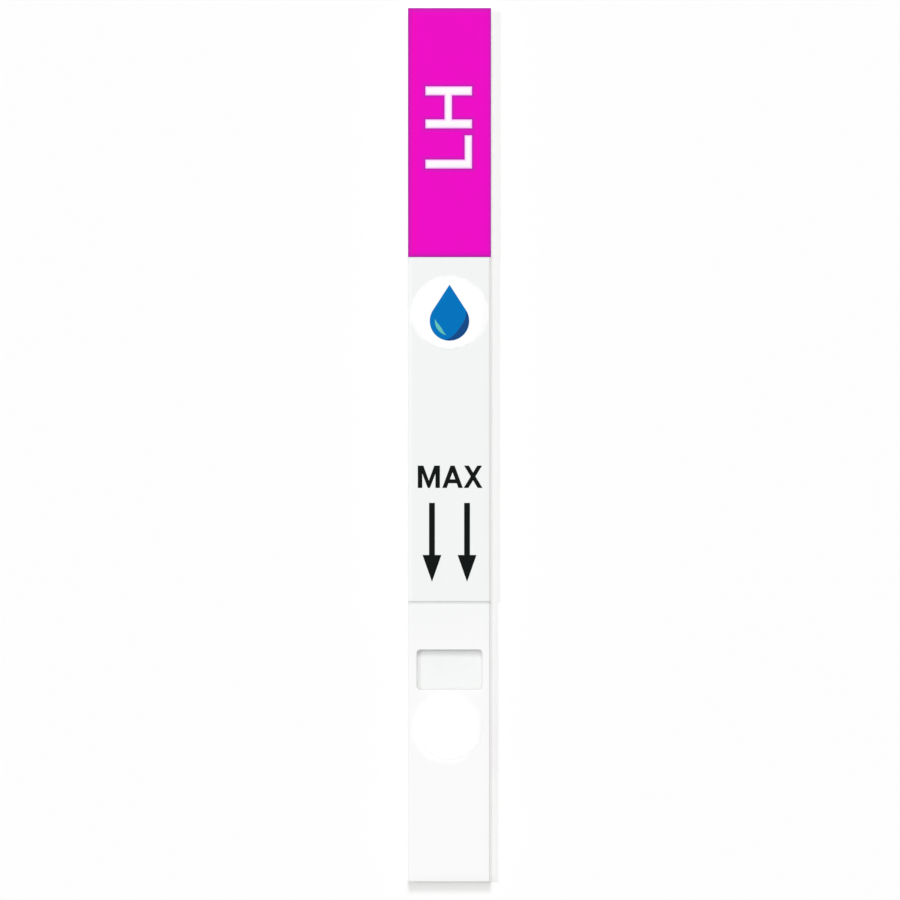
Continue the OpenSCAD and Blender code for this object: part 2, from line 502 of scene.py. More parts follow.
def fray(point, seed):
    """How far the cut has pushed in at a point, from 0 to 1, by two grains with their sizes in mm."""
    pushed = 0.5
    for sizes, share in (FRAY_TUFTS, FRAY_ENDS):
        scaled = Vector([at / size for at, size in zip(point, sizes)]) / MM
        pushed += share * noise.noise(scaled + Vector((seed, 0, 0)))
    return pushed


# %% [markdown]
# The box is divided in three goes: along the strip, then upwards, and last across its two ends alone.
# Points on a cut face still lie on the box at first, so each one is told apart by that before it moves.

# %% Cut a pad
def cut_pad(low, high, under, over, seed):
    """A felted pad between two height profiles, with frayed sides and ends."""
    bm = box(low, high)
    along = [e for e in bm.edges if not near(e.verts[0].co.y, e.verts[1].co.y)]
    slices = round((high.y - low.y) / FIBRE_STEP)
    bmesh.ops.subdivide_edges(bm, edges=along, cuts=slices - 1, use_grid_fill=True)
    upright = [e for e in bm.edges if not near(e.verts[0].co.z, e.verts[1].co.z)]
    rows = round((high.z - low.z) / FIBRE_ROW)
    bmesh.ops.subdivide_edges(bm, edges=upright, cuts=rows - 1, use_grid_fill=True)
    at_ends = [
        e for e in edges_where(bm, lambda co: near(co.y, low.y) or near(co.y, high.y))
        if not near(e.verts[0].co.x, e.verts[1].co.x)
    ]
    columns = round((high.x - low.x) / FIBRE_STEP)
    bmesh.ops.subdivide_edges(bm, edges=at_ends, cuts=columns - 1, use_grid_fill=True)
    print(f"a pad of {slices} slices, {rows} rows and {columns} columns")
    for vert in bm.verts:
        co = vert.co
        on_side = near(abs(co.x), high.x)
        on_end = near(co.y, low.y) or near(co.y, high.y)
        bottom, top = under(co.y), over(co.y)
        share = (co.z - low.z) / (high.z - low.z)
        push = FRAY_DEPTH * fray(co, seed)
        co.z = bottom + (top - bottom) * share
        if on_end:
            co.y += push if co.y < (low.y + high.y) / 2 else -push
        if on_side:
            co.x -= math.copysign(push, co.x)
    return bm


# %% [markdown]
# The finish of a pad follows the same grain. Long flat noise gives the layers, fine noise the single
# fibres, and the hollows between fibres get a darker colour as painted shade. The pink pad is glass fibre
# that was soaked in a gold colloid and dried, so its colour is uneven and gathers in its hollows. An image
# of felt would have to be unwrapped, while noise in object coordinates runs round every edge without a
# seam.

# %% Finish of the pads
SHADED_HOLLOW_LEVELS = 0.35, 0.58
STAIN_LEVELS = 0.35, 0.70
STAIN_SHARE = 0.7


def pad_finish(name, fibre, shaded_hollow, stain=None):
    """A felted finish with fibres of one colour over hollows in a darker colour of painted shade, and an
    uneven stain.
    """
    material, start = new_material(name)
    where, *_ = place(start)
    layers = cloud(where, 0.035 * MM, detail=4.0, stretch=(8, 8, 1))
    strands = cloud(where, 0.02 * MM, detail=2.0, stretch=(6, 2, 1))
    relief = layers * 0.6 + strands * 0.4
    # Painted shade: the hollows between fibres take the darker colour.
    colour = blend_colours(step_up(relief, *SHADED_HOLLOW_LEVELS), shaded_hollow, fibre)
    if stain:
        patches = cloud(where, 0.6 * MM, detail=4.0)
        colour = blend_colours(step_up(patches, *STAIN_LEVELS) * STAIN_SHARE, colour, stain)
    finish(start, colour, roughness=0.95, height=relief, depth=0.03 * MM, Specular_IOR_Level=0.2)
    return material


# The second colour of each pad is the painted shade of its hollows.
sample_finish = pad_finish("sample_pad_finish", seen(238, 236, 229), seen(200, 196, 185))
wick_finish = pad_finish("wick_finish", seen(238, 238, 235), seen(202, 201, 196))
conjugate_finish = pad_finish(
    "conjugate_finish", seen(222, 197, 200), seen(186, 154, 160), stain=seen(206, 176, 181)
)

# %% [markdown]
# The pads overlap like roof tiles. Each one lies up on its neighbour in a soft S, so it has a profile for
# its under side and one for its upper side, as functions of the place along the strip. The pink pad keeps
# its thickness through the bend. The other two are pressed thinner there and stay flat on top, so that the
# window card lies on all of them. A Simple Deform modifier bends a whole piece about one axis, while these
# functions bend each face by itself.

# %% Cut and bend the pads
conjugate_flat = conjugate_low.z + CONJUGATE_THICKNESS
sample_step = conjugate_low.y - BEND_LENGTH
conjugate_step = membrane_low.y - BEND_LENGTH


def sample_under(y):
    """The sample pad steps up onto the pink pad."""
    return bend(y, sample_step, sample_low.z, conjugate_flat)


def sample_over(y):
    """The sample pad stays flat on top."""
    return sample_high.z


def conjugate_under(y):
    """The pink pad steps up onto the membrane."""
    return bend(y, conjugate_step, conjugate_low.z, membrane_high.z)


def conjugate_over(y):
    """The pink pad's upper face steps up by the same rise."""
    return bend(y, conjugate_step, conjugate_flat, conjugate_high.z)


def wick_under(y):
    """The wick steps down off the membrane."""
    return bend(y, membrane_high.y, membrane_high.z, wick_low.z)


def wick_over(y):
    """The wick stays flat on top."""
    return wick_high.z


sample_shape = sample_low, sample_high, sample_under, sample_over
conjugate_shape = conjugate_low, conjugate_high, conjugate_under, conjugate_over
wick_shape = wick_low, wick_high, wick_under, wick_over

bm = cut_pad(*sample_shape, seed=1)
add_piece("sample_pad_felt", bm, sample_finish, "sample_fibre", "sample_pad")

bm = cut_pad(*conjugate_shape, seed=2)
add_piece("conjugate_pad_felt", bm, conjugate_finish, "conjugate_fibre", "conjugate_pad")

bm = cut_pad(*wick_shape, seed=3)
add_piece("absorbent_pad_felt", bm, wick_finish, "wick_fibre", "absorbent_pad")

# %% [markdown]
# The blade also pulls single fibres loose along the cut sides. Each one leaves the felt, lies along the cut
# for a fraction of a millimetre and goes back in, and none reaches past the cards. Hair particles could
# make them, but rods are a mesh from the start. One fibre is a thin square rod that is divided along its
# length, and the rods are doubled until there are enough, which is quick.

# %% Make straight fibres
FIBRE_RADIUS = 0.008 * MM
FIBRE_CUTS = 5


def straight_fibres(doublings):
    """Rods one metre long that lie along X in one place: their mesh, and a list of each one's points."""
    bm = bmesh.new()
    bmesh.ops.create_cone(
        bm, cap_ends=True, segments=4, radius1=FIBRE_RADIUS, radius2=FIBRE_RADIUS, depth=1.0
    )
    along = [e for e in bm.edges if abs(e.verts[0].co.z - e.verts[1].co.z) > 0.5]
    bmesh.ops.subdivide_edges(bm, edges=along, cuts=FIBRE_CUTS, use_grid_fill=True)
    bmesh.ops.rotate(bm, matrix=Matrix.Rotation(math.pi / 2, 3, "Y"), verts=bm.verts)
    size = len(bm.verts)
    for _ in range(doublings):
        bmesh.ops.duplicate(bm, geom=[*bm.verts, *bm.edges, *bm.faces])
    verts = list(bm.verts)
    return bm, [verts[at:at + size] for at in range(0, len(verts), size)]


# %% [markdown]
# Each rod is then laid along a curve of its own. Half a turn of a sine takes it out of the felt and back,
# and its place, length, height, slope and curl are drawn by chance. The draw starts from a seed, so every
# run lays the same fibres.

# %% Lay fibres along the cuts
FIBRE_LENGTHS = 0.25 * MM, 0.80 * MM
FIBRE_PROUD = 0.010 * MM
ROOT_DEPTH = 0.060 * MM
FIBRE_HEIGHTS = 0.05, 0.95
FIBRE_SLOPE = 0.2
FIBRE_CURL = 0.08


def loose_fibres(low, high, under, over, seed, doublings, ends=()):
    """Loose fibres along both cut sides of a pad, and along its low end (-1) or high end (1)."""
    draw = random.Random(seed)
    bm, rods = straight_fibres(doublings)
    width, length = high.x - low.x, high.y - low.y
    for rod in rods:
        at_end = ends and draw.random() < width / (width + 2 * length)
        size = draw.uniform(*FIBRE_LENGTHS)
        start = draw.uniform(low.x, high.x - size) if at_end else draw.uniform(low.y, high.y - size)
        side = draw.choice(ends if at_end else (-1, 1))
        height = draw.uniform(*FIBRE_HEIGHTS)
        slope = draw.uniform(-FIBRE_SLOPE, FIBRE_SLOPE)
        curl = draw.uniform(-FIBRE_CURL, FIBRE_CURL)
        for vert in rod:
            share = vert.co.x + 0.5
            along = start + share * size
            depth = ROOT_DEPTH + (FIBRE_PROUD - ROOT_DEPTH) * math.sin(math.pi * share)
            if at_end:
                x, y = along, side * (high.y - depth if side > 0 else -low.y - depth) + vert.co.y
            else:
                x, y = side * (high.x - depth) + vert.co.y, along
            bottom, top = under(y) + 2 * FIBRE_RADIUS, over(y) - 2 * FIBRE_RADIUS
            rise = height + slope * (share - 0.5) + curl * math.sin(2 * math.pi * share)
            vert.co = (x, y, bottom + (top - bottom) * min(max(rise, 0), 1) + vert.co.z)
    print(f"{len(rods)} loose fibres")
    return bm


# %% [markdown]
# A fibre is too thin to show a pattern, so its finish is little more than a colour, darker where it holds
# more binder. The sample pad and the wick shed cotton, and the pink pad sheds glass.

# %% Add the loose fibres
def fibre_finish(name, clean, bound):
    """Single fibres in a clean colour, and in a darker one in the patches where they hold more binder."""
    material, start = new_material(name)
    where, *_ = place(start)
    patches = cloud(where, 0.12 * MM, detail=3.0)
    colour = blend_colours(patches, bound, clean)
    finish(start, colour, roughness=0.7, height=patches, depth=0.001 * MM, Specular_IOR_Level=0.3)
    return material


cotton_fibre = fibre_finish("cotton_fibre", seen(252, 251, 247), seen(232, 229, 220))
glass_fibre = fibre_finish("glass_fibre", seen(244, 228, 231), seen(214, 184, 190))

bm = loose_fibres(*sample_shape, seed=1, doublings=9, ends=(-1,))
add_piece("sample_pad_fibres", bm, cotton_fibre, "sample_fibre")

bm = loose_fibres(*conjugate_shape, seed=2, doublings=8)
add_piece("conjugate_pad_fibres", bm, glass_fibre, "conjugate_fibre")

bm = loose_fibres(*wick_shape, seed=3, doublings=11, ends=(1,))
add_piece("absorbent_pad_fibres", bm, cotton_fibre, "wick_fibre")

# %% [markdown]
# ## The membrane
#
# The membrane is a white, chalky coat of nitrocellulose on a clear film, and it is what shows in the
# window. From above it is matt and plain, with a fine tooth. Along the cut side its lower part is the film,
# which is greyer and glossier than the coat. The two could be two sheets, but they never come apart, so the
# film is drawn by height, like the adhesive.

# %% Make the membrane
FILM = 0.10 * MM

membrane_finish, start = new_material("membrane_finish")
where, _, _, z = place(start)
film = 1 - past(z - membrane_low.z, FILM, blur=0.1)
pores = cloud(where, 0.03 * MM, detail=5.0)
mottle = cloud(where, 0.8 * MM, detail=3.0)
chalk = blend_colours(pores * 0.5 + mottle * 0.5, seen(241, 243, 242), seen(248, 249, 249))
colour = blend_colours(film * 0.9, chalk, seen(205, 212, 212))
chalky = 0.95 - film * 0.7
finish(start, colour, roughness=chalky, height=pores, depth=0.006 * MM, Specular_IOR_Level=0.2)

bm = box(membrane_low, membrane_high)
roll_edges(bm, list(bm.edges), CRISP, segments=2)
slice_sheet(bm, membrane_low, membrane_high)
add_piece("membrane_sheet", bm, membrane_finish, "membrane", "nitrocellulose_membrane")

# %% [markdown]
# ## The window card
#
# The card lies on the pads and bridges the membrane between them, and the window is punched in it before it
# is laid. It and the label are white film with a coat of adhesive on the back, so one function makes the
# finish of both. The film is slightly mottled, and its cut sides are rough where the blade has scored them,
# over a darker line of adhesive. Just inside the strip's right edge, the side turned away from the light, a
# fine grey line of painted shade stands for the shade on the rolled edge.

# %% Finish of the window card
SCORED_DEPTH = 0.02 * MM
SCORED_COLOUR = seen(205, 206, 203)
# Where the painted shade line just inside the right edge lies, measured in from that edge, and its grey.
SHADE_LINE_OUTER = 0.075 * MM
SHADE_LINE_INNER = 0.190 * MM
SHADE_LINE_RAGGED = 0.02 * MM
SHADE_LINE_COLOUR = seen(216, 217, 216)


def white_film(name, base, colours, lighter, roughness=0.45):
    """A white film with adhesive at base, made lighter by the masks and colours that lighter gives."""
    material, start = new_material(name)
    where, x, y, z = place(start)
    mottle = cloud(where, 2.5 * MM, detail=4.0)
    tooth = cloud(where, 0.04 * MM, detail=3.0)
    streaks = cloud(where, 0.02 * MM, stretch=(1, 1, 12))
    from_right = strip_size.x / 2 - x
    from_end = strip_size.y / 2 - y.math("ABSOLUTE")
    inset = (strip_size.x / 2 - x.math("ABSOLUTE")).math("MINIMUM", from_end)
    side = 1 - step_up(inset, 0.0, SCORED_DEPTH)
    # Painted shade: a fine grey line just inside the right edge, the side turned away from the light.
    painted_shade_line = past(from_right, SHADE_LINE_OUTER)
    painted_shade_line *= 1 - past(from_right + tooth * SHADE_LINE_RAGGED, SHADE_LINE_INNER, blur=0.1)
    adhesive = 1 - past(z - base, ADHESIVE)
    colour = blend_colours(mottle, *colours)
    for mask, light_colour in lighter(where, x, y):
        colour = blend_colours(mask, colour, light_colour)
    colour = blend_colours(painted_shade_line, colour, SHADE_LINE_COLOUR)
    colour = blend_colours(side * streaks * 0.35, colour, SCORED_COLOUR)
    colour = blend_colours(adhesive * ADHESIVE_SHARE, colour, ADHESIVE_COLOUR)
    height = tooth * (1 - side) + streaks * side
    worn = roughness + tooth * 0.12 + side * 0.3
    finish(start, colour, roughness=worn, height=height, depth=0.005 * MM, Specular_IOR_Level=0.3)
    return material


# %% [markdown]
# Two printed spots are whiter than the film, and their white thins out to nothing over the last part of
# their radius. So a spot is drawn as one of the lighter shades of the film, by the distance from the spot's
# centre, and is made ragged by noise. A disc in a colour of its own would end in a hard rim.

# %% Lighter parts of the card
HAZE_LUMP = 0.9 * MM
HAZE_RAGGED = 0.6 * MM
SPOT_WHITE = seen(255, 255, 255)
CARD_SPOT_LEFT, CARD_SPOT_DOWN = 0.3 * MM, 0.2 * MM
CARD_SPOT_STRETCH = 0.97
CARD_SPOT_INNER, CARD_SPOT_OUTER = 3.1 * MM, 3.8 * MM


def haze(where, x, y, node, stretch, inner, outer):
    """A printed spot's white: 1 up to an inner radius, 0 from an outer one, and stretched in width."""
    low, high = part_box(node)
    centre = (low + high) / 2
    from_x, from_y = (x - centre.x) / stretch, y - centre.y
    distance = (from_x * from_x + from_y * from_y).math("SQRT")
    ragged = distance + (cloud(where, HAZE_LUMP, detail=4.0) - 0.5) * HAZE_RAGGED
    return 1 - step_up(ragged, inner, outer)


def lighter_card(where, x, y):
    """The card is a little lighter away from the label, and hazy round its white spot."""
    away = 1 - step_up(y, window_middle, label_low.y)
    x, y = x + CARD_SPOT_LEFT, y + CARD_SPOT_DOWN
    spot = haze(where, x, y, "card_spot", CARD_SPOT_STRETCH, CARD_SPOT_INNER, CARD_SPOT_OUTER)
    return [(away, seen(249, 249, 249)), (spot, SPOT_WHITE)]


CARD_COLOURS = seen(244, 245, 245), seen(246, 247, 246)
card_finish = white_film("window_card_finish", card_low.z, CARD_COLOURS, lighter_card)

# %% [markdown]
# A sheet's rims are the edges where an upright face meets a level one. The lower ones are only broken,
# which leaves a fine line between the sheets where they show from the side. Rims are found by a test on
# their two ends, so none of them is picked by its number.

# %% Helpers for the rims
def rims(bm, test):
    """The edges between an upright face and a level one whose two ends pass a test."""
    edges = edges_where(bm, test)
    return [edge for edge in edges if any(abs(face.normal.z) < 0.5 for face in edge.link_faces)]


def break_lower_edges(bm, low, high):
    """Breaks the sharp lower edges round a sheet's outline."""
    def on_outline(co):
        at_side = near(co.x, low.x) or near(co.x, high.x)
        at_end = near(co.y, low.y) or near(co.y, high.y)
        return near(co.z, low.z) and (at_side or at_end)

    roll_edges(bm, rims(bm, on_outline), CRISP, segments=2)


# %% [markdown]
# The punch comes from the face, so the window's upper lip is rolled like the card's outer edges. A Boolean
# modifier could cut the window, but its thin leftover faces bevel badly. So the window starts as two pairs
# of cuts across a box. The cell between them is opened and its two rims are bridged by walls, and bevels
# round first its upright corners and then its lip. One more cut, along the label's edge, is for the next
# step.

# %% Punch the window
LIP = 0.08 * MM

bm = box(card_low, card_high)
split(bm, 0, [window_low.x, window_high.x])
split(bm, 1, [window_low.y, window_high.y, label_low.y])


def in_window(co):
    """True within the window's outline, its rim included."""
    inside_x = window_low.x - SAME_PLACE < co.x < window_high.x + SAME_PLACE
    inside_y = window_low.y - SAME_PLACE < co.y < window_high.y + SAME_PLACE
    return inside_x and inside_y


plugs = [face for face in bm.faces if all(in_window(vert.co) for vert in face.verts)]
bmesh.ops.delete(bm, geom=plugs, context="FACES")
rim = [edge for edge in bm.edges if edge.is_boundary]
bmesh.ops.bridge_loops(bm, edges=rim)
corners = [
    edge for edge in edges_where(bm, in_window) if not near(edge.verts[0].co.z, edge.verts[1].co.z)
]
roll_edges(bm, corners, WINDOW_CORNER, segments=8)
roll_edges(bm, rims(bm, lambda co: in_window(co) and near(co.z, card_high.z)), LIP)
print(f"the window has {len(rim) // 2} walls, and its {len(corners)} upright corners are round")

# %% [markdown]
# The slitting blade has rolled the card's upper edges only where the label leaves them open. Under the
# label they stay square, because the blade went through the label first.

# %% Roll the card's open edges
EDGE_ROLL = 0.08 * MM


def on_open_edge(co):
    """True on the card's upper edges that the label leaves open."""
    at_side = near(abs(co.x), card_high.x) or near(co.y, card_low.y)
    return near(co.z, card_high.z) and at_side and co.y < label_low.y + SAME_PLACE


roll_edges(bm, rims(bm, on_open_edge), EDGE_ROLL)
break_lower_edges(bm, card_low, card_high)
slice_sheet(bm, card_low, card_high)
add_piece("window_card_sheet", bm, card_finish, "window_card", "window_card")

# %% [markdown]
# ## The front label
#
# The label is a white film that was printed and laid on the card before the strip was slit. Its lower edge
# is the line that the strip may be dipped to, and its step throws the thin shadow that crosses the strip.
# That edge was cut before the label was laid, so it is nearly crisp. Only the sides that the slitting blade
# cut are rolled, as far as the handle tape, which covers the rest. One bevel round the whole top would be
# quicker, but it would roll the line and the covered end just as far.

# %% Cut the front label
# Where the painted light along the label's left side ends and where it is full.
PAINTED_LIGHT_INNER, PAINTED_LIGHT_OUTER = 0.45 * MM, 0.25 * MM
LABEL_SPOT_STRETCH = 1.08
LABEL_SPOT_INNER, LABEL_SPOT_OUTER = 3.25 * MM, 3.65 * MM
DIP_LINE_ROLL = CRISP * 2


def lighter_label(where, x, y):
    """The label has painted light along its left side, which faces the light, and is hazy round its white
    spot.
    """
    # Painted light: the label's left side is lighter, as the side that faces the light.
    painted_light_left = 1 - step_up(x, label_low.x + PAINTED_LIGHT_OUTER, label_low.x + PAINTED_LIGHT_INNER)
    spot = haze(where, x, y, "label_spot", LABEL_SPOT_STRETCH, LABEL_SPOT_INNER, LABEL_SPOT_OUTER)
    return [(painted_light_left, seen(246, 248, 248)), (spot, SPOT_WHITE)]


LABEL_COLOURS = seen(241, 243, 243), seen(243, 245, 244)
label_finish = white_film("front_label_finish", label_low.z, LABEL_COLOURS, lighter_label)

bm = box(label_low, label_high)
split(bm, 1, [tape_low.y])
slit_edges = [
    edge
    for edge in edges_where(bm, lambda co: near(co.z, label_high.z) and co.y < tape_low.y + SAME_PLACE)
    if any(abs(face.normal.x) > 0.5 for face in edge.link_faces)
]
roll_edges(bm, slit_edges, EDGE_ROLL)
dip_line = rims(bm, lambda co: near(co.z, label_high.z) and near(co.y, label_low.y))
roll_edges(bm, dip_line, DIP_LINE_ROLL)
break_lower_edges(bm, label_low, label_high)
slice_sheet(bm, label_low, label_high)
add_piece("front_label_sheet", bm, label_finish, "front_label", "front_label")

# %% [markdown]
# ## Print
#
# Screen-printed ink stands two hundredths of a millimetre proud and its edges are round. Every printed
# shape here is an outline that is filled, raised and rolled in the same way. The fill is triangle_fill,
# because it leaves the counter of a letter open, and bisecting gives the ink enough points to lie on the
# settled sheet under it.

# %% Helpers for the print
arrows_low, arrows_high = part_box("dip_arrows")
INK = arrows_high.z - arrows_low.z
INK_ROLL = 0.006 * MM
INK_SLICE = 0.5 * MM


def printed(outlines, base, thickness=INK, roll=INK_ROLL):
    """A raised print from closed outlines of (x, y) points. Outlines after the first may be counters."""
    bm = bmesh.new()
    lines = []
    for outline in outlines:
        verts = [bm.verts.new((px, py, base)) for px, py in outline]
        lines += [bm.edges.new(pair) for pair in zip(verts, verts[1:] + verts[:1])]
    bmesh.ops.triangle_fill(bm, use_beauty=True, use_dissolve=False, edges=lines, normal=(0, 0, 1))
    low_x, high_x = min(v.co.x for v in bm.verts), max(v.co.x for v in bm.verts)
    low_y, high_y = min(v.co.y for v in bm.verts), max(v.co.y for v in bm.verts)
    raised = bmesh.ops.extrude_face_region(bm, geom=list(bm.faces), use_keep_orig=True)
    lifted = [item for item in raised["geom"] if isinstance(item, bmesh.types.BMVert)]
    bmesh.ops.translate(bm, vec=(0, 0, thickness), verts=lifted)
    bmesh.ops.recalc_face_normals(bm, faces=bm.faces)
    roll_edges(bm, rims(bm, lambda co: near(co.z, base + thickness)), roll, segments=2)
    split(bm, 0, steps(low_x, high_x, INK_SLICE))
    split(bm, 1, steps(low_y, high_y, INK_SLICE))
    return bm


def arc(centre_x, centre_y, radius, start, end, count):
    """Points along an arc from one angle to another, in degrees."""
    turns = [math.radians(start + (end - start) * i / (count - 1)) for i in range(count)]
    return [(centre_x + radius * math.cos(t), centre_y + radius * math.sin(t)) for t in turns]


# %% [markdown]
# The inks are opaque and nearly matt. Their cover is never quite even, so an ink is a thin and a thick
# shade of one colour that slow noise mixes, and a finer noise gives it the tooth of the film under it. It
# could be one flat colour, but that looks like plastic from close by. An ink can also take another colour
# by a mask, which the white letters use at their rims.

# %% Finish of the inks
def ink_finish(name, thin, thick, roughness, rim=None):
    """A printed ink with an uneven cover, and another colour by the mask that rim gives."""
    material, start = new_material(name)
    where, x, y, _ = place(start)
    cover = cloud(where, 0.25 * MM, detail=4.0)
    tooth = cloud(where, 0.03 * MM, detail=3.0)
    colour = blend_colours(cover, thin, thick)
    if rim:
        mask, rim_colour = rim(x, y)
        colour = blend_colours(mask, colour, rim_colour)
    worn = roughness + tooth * 0.15
    finish(start, colour, roughness=worn, height=tooth, depth=0.002 * MM, Specular_IOR_Level=0.04)
    return material


black_ink = ink_finish("black_ink", seen(17, 22, 21), seen(10, 14, 14), roughness=0.45)

# %% [markdown]
# The two arrows say which end goes into the sample. Their outline is seven points, and its sizes come from
# the loaded print and a few widths. The second arrow could be drawn again, but a duplicate of the first
# that is moved across is sure to be alike.

# %% Print the arrows
HEAD_LENGTH = 2.58 * MM
HEAD_WIDTH = 1.82 * MM
SHAFT_WIDTH = 0.56 * MM
ARROW_FROM_MIDDLE = 1.69 * MM


def arrow_outline(x):
    """A dip arrow whose tip is at the low end of the print."""
    tip, tail = arrows_low.y, arrows_high.y
    wing = tip + HEAD_LENGTH
    right = [(HEAD_WIDTH / 2, wing), (SHAFT_WIDTH / 2, wing), (SHAFT_WIDTH / 2, tail)]
    left = [(-dx, dy) for dx, dy in reversed(right)]
    return [(x, tip)] + [(x + dx, dy) for dx, dy in right + left]


bm = printed([arrow_outline(-ARROW_FROM_MIDDLE)], label_high.z)
other = bmesh.ops.duplicate(bm, geom=[*bm.verts, *bm.edges, *bm.faces])
moved = [item for item in other["geom"] if isinstance(item, bmesh.types.BMVert)]
bmesh.ops.translate(bm, vec=(2 * ARROW_FROM_MIDDLE, 0, 0), verts=moved)
add_piece("dip_arrows_print", bm, black_ink, "black_ink", "dip_arrows")

# %% [markdown]
# ## Lettering
#
# MAX over the arrows and LH on the handle are the plain marks that any such strip carries: the most it may
# be dipped and the hormone that it reads. A text object could set them, but it would bring a font's own
# shapes. So the letters are drawn as bold strokes, each as one outline whose points follow from the cap
# height, the letter's width and the width of its strokes.

# %% Outlines of L and H
def letter_l(height, width, stem, foot):
    """An L from its baseline corner."""
    return [[(0, 0), (width, 0), (width, foot), (stem, foot), (stem, height), (0, height)]]


def letter_h(height, width, stem, bar_low, bar_high):
    """An H from its baseline corner."""
    inner = width - stem
    left = [(0, height), (0, 0), (stem, 0), (stem, bar_low)]
    right = [(inner, bar_low), (inner, 0), (width, 0), (width, height), (inner, height), (inner, bar_high)]
    return [left + right + [(stem, bar_high), (stem, height)]]


# %% [markdown]
# M, A and X have slanting strokes, so their inner corners lie where two slopes meet. In A and X these are
# worked out from the lean, which is how far a stroke moves across for each step up. In M two heights give
# them: where the slopes branch off the stems, and where the notch ends.

# %% Outlines of M, A and X
def letter_m(height, width, stem, foot, shoulder, branch, notch):
    """An M whose middle reaches the baseline in a flat foot."""
    middle = width / 2
    left = [(0, 0), (stem, 0), (stem, branch), (middle - foot / 2, 0)]
    right = [(width - px, py) for px, py in reversed(left)]
    top = [(width - shoulder, height), (middle, notch), (shoulder, height), (0, height)]
    return [left + right + [(width, height)] + top]


def letter_a(height, width, stroke, apex, bar_low, bar_high):
    """An A with a flat apex and a counter."""
    middle = width / 2
    lean = (middle - apex / 2) / height
    inner_low, inner_high = stroke + lean * bar_low, stroke + lean * bar_high
    left = [(stroke, 0), (0, 0), (middle - apex / 2, height)]
    right = [(width - px, py) for px, py in reversed(left)]
    counter_top = (middle - stroke) / lean
    counter = [(inner_high, bar_high), (width - inner_high, bar_high), (middle, counter_top)]
    return [left + right + [(width - inner_low, bar_low), (inner_low, bar_low)], counter]


def letter_x(height, width, top, stroke):
    """An X of two bars that is a little narrower at the top than at its foot."""
    middle, inset = width / 2, (width - top) / 2
    lean = (middle + top / 2 - stroke) / height
    crossing = (middle - stroke / 2) / lean
    waist = stroke / 2 / lean
    lower = [(0, 0), (stroke, 0), (middle, crossing - waist), (width - stroke, 0), (width, 0)]
    upper = [
        (width - inset, height),
        (width - inset - stroke, height),
        (middle, crossing + waist),
        (inset + stroke, height),
        (inset, height),
    ]
    return [lower + [(middle + stroke / 2, crossing)] + upper + [(middle - stroke / 2, crossing)]]


# %% [markdown]
# The word is set like type: each letter is followed by a gap of its own, and the gap between the A and the
# X is the smaller one, because their slopes leave room already. The baseline is measured from the arrows'
# tails, and the word stands a little to the right of the middle, where the photograph has it.

# %% Print MAX over the arrows
CAP = 2.15 * MM
MAX_BASE = 1.44 * MM
MAX_SHIFT = 0.06 * MM
M_WIDTH, A_WIDTH, X_WIDTH = 2.13 * MM, 1.98 * MM, 1.81 * MM


def set_word(letters, gaps):
    """Sets letters side by side, and returns their outlines and the word's length."""
    outlines, at = [], 0
    for (shape, width), gap in zip(letters, gaps + [0]):
        outlines.append([[(at + px, py) for px, py in outline] for outline in shape])
        at += width + gap
    return outlines, at


m_shape = letter_m(
    CAP, M_WIDTH, stem=0.43 * MM, foot=0.21 * MM, shoulder=0.54 * MM, branch=1.38 * MM, notch=0.70 * MM
)
a_shape = letter_a(CAP, A_WIDTH, stroke=0.43 * MM, apex=0.40 * MM, bar_low=0.45 * MM, bar_high=0.83 * MM)
x_shape = letter_x(CAP, X_WIDTH, top=1.73 * MM, stroke=0.46 * MM)
word, length = set_word(
    [(m_shape, M_WIDTH), (a_shape, A_WIDTH), (x_shape, X_WIDTH)], gaps=[0.23 * MM, 0.08 * MM]
)
base_y = arrows_high.y + MAX_BASE
for name, letter in zip("max", word):
    placed = [[(px - length / 2 + MAX_SHIFT, py + base_y) for px, py in outline] for outline in letter]
    bm = printed(placed, label_high.z)
    add_piece(f"dip_limit_letter_{name}", bm, black_ink, "black_ink")

# %% [markdown]
# ## The handle tape and its letters
#
# The magenta tape marks the end to hold. LH reads from the dip end to the handle's end, so its letters are
# turned a quarter turn to the left: what was along the word is now along the strip. They are set out before
# the tape is laid, because the tape's ink needs to know where they are.

# %% Set out LH on the handle
HANDLE_CAP = 4.49 * MM
L_WIDTH, L_STEM, L_FOOT = 3.20 * MM, 0.86 * MM, 0.71 * MM
H_WIDTH, H_STEM = 4.04 * MM, 0.86 * MM
BAR_LOW, BAR_HIGH = 1.93 * MM, 2.65 * MM
WORD_FROM_END = 7.56 * MM
BASELINE_X = 2.17 * MM
l_shape = letter_l(HANDLE_CAP, L_WIDTH, L_STEM, L_FOOT)
h_shape = letter_h(HANDLE_CAP, H_WIDTH, H_STEM, BAR_LOW, BAR_HIGH)
word, length = set_word([(l_shape, L_WIDTH), (h_shape, H_WIDTH)], gaps=[0.67 * MM])
word_y = tape_high.y - WORD_FROM_END - length
h_y = word_y + length - H_WIDTH
print(f"LH is {length / MM:.2f} mm long")

# %% [markdown]
# Ink is squeezed outwards when it is pressed, so the magenta is thicker and darker along the tape's cut
# edges and round the letters, and the white is thinner and pinker at its rim. Both follow the distance from
# the letters' strokes. Each stroke is a rectangle that lies square to the strip, and the distance from one
# is the larger of the distances along x and y.

# %% Distance from the letters
strokes = [
    (0, word_y, HANDLE_CAP, L_STEM),
    (0, word_y, L_FOOT, L_WIDTH),
    (0, h_y, HANDLE_CAP, H_STEM),
    (0, h_y + H_WIDTH - H_STEM, HANDLE_CAP, H_STEM),
    (BAR_LOW, h_y, BAR_HIGH - BAR_LOW, H_WIDTH),
]
print(f"{len(strokes)} strokes in the two letters")


